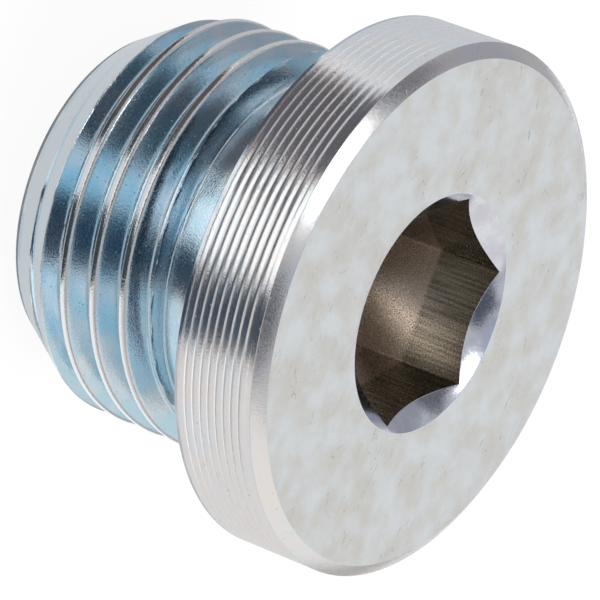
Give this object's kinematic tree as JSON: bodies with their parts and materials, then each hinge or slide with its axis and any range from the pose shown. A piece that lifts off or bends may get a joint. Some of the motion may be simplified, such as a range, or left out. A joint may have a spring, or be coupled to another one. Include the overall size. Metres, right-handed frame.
{
  "type": "hex socket plug",
  "caption": "Flanged plug with a hexagon socket in its flat head, a turned rim, a neck for a sealing ring and a short parallel pipe thread.",
  "frame": {"origin": "centre of the flat sealing face under the head, on the plug's axis", "axes": "+Z along the axis from the threaded end to the socket face, +X through two opposite corners of the socket"},
  "size_m": [0.0268, 0.0268, 0.019],
  "materials": {
    "zinc_steel": "satin zinc plating over turned steel"
  },
  "bodies": {
    "root": {"plug": "zinc_steel"}
  },
  "joints": []
}
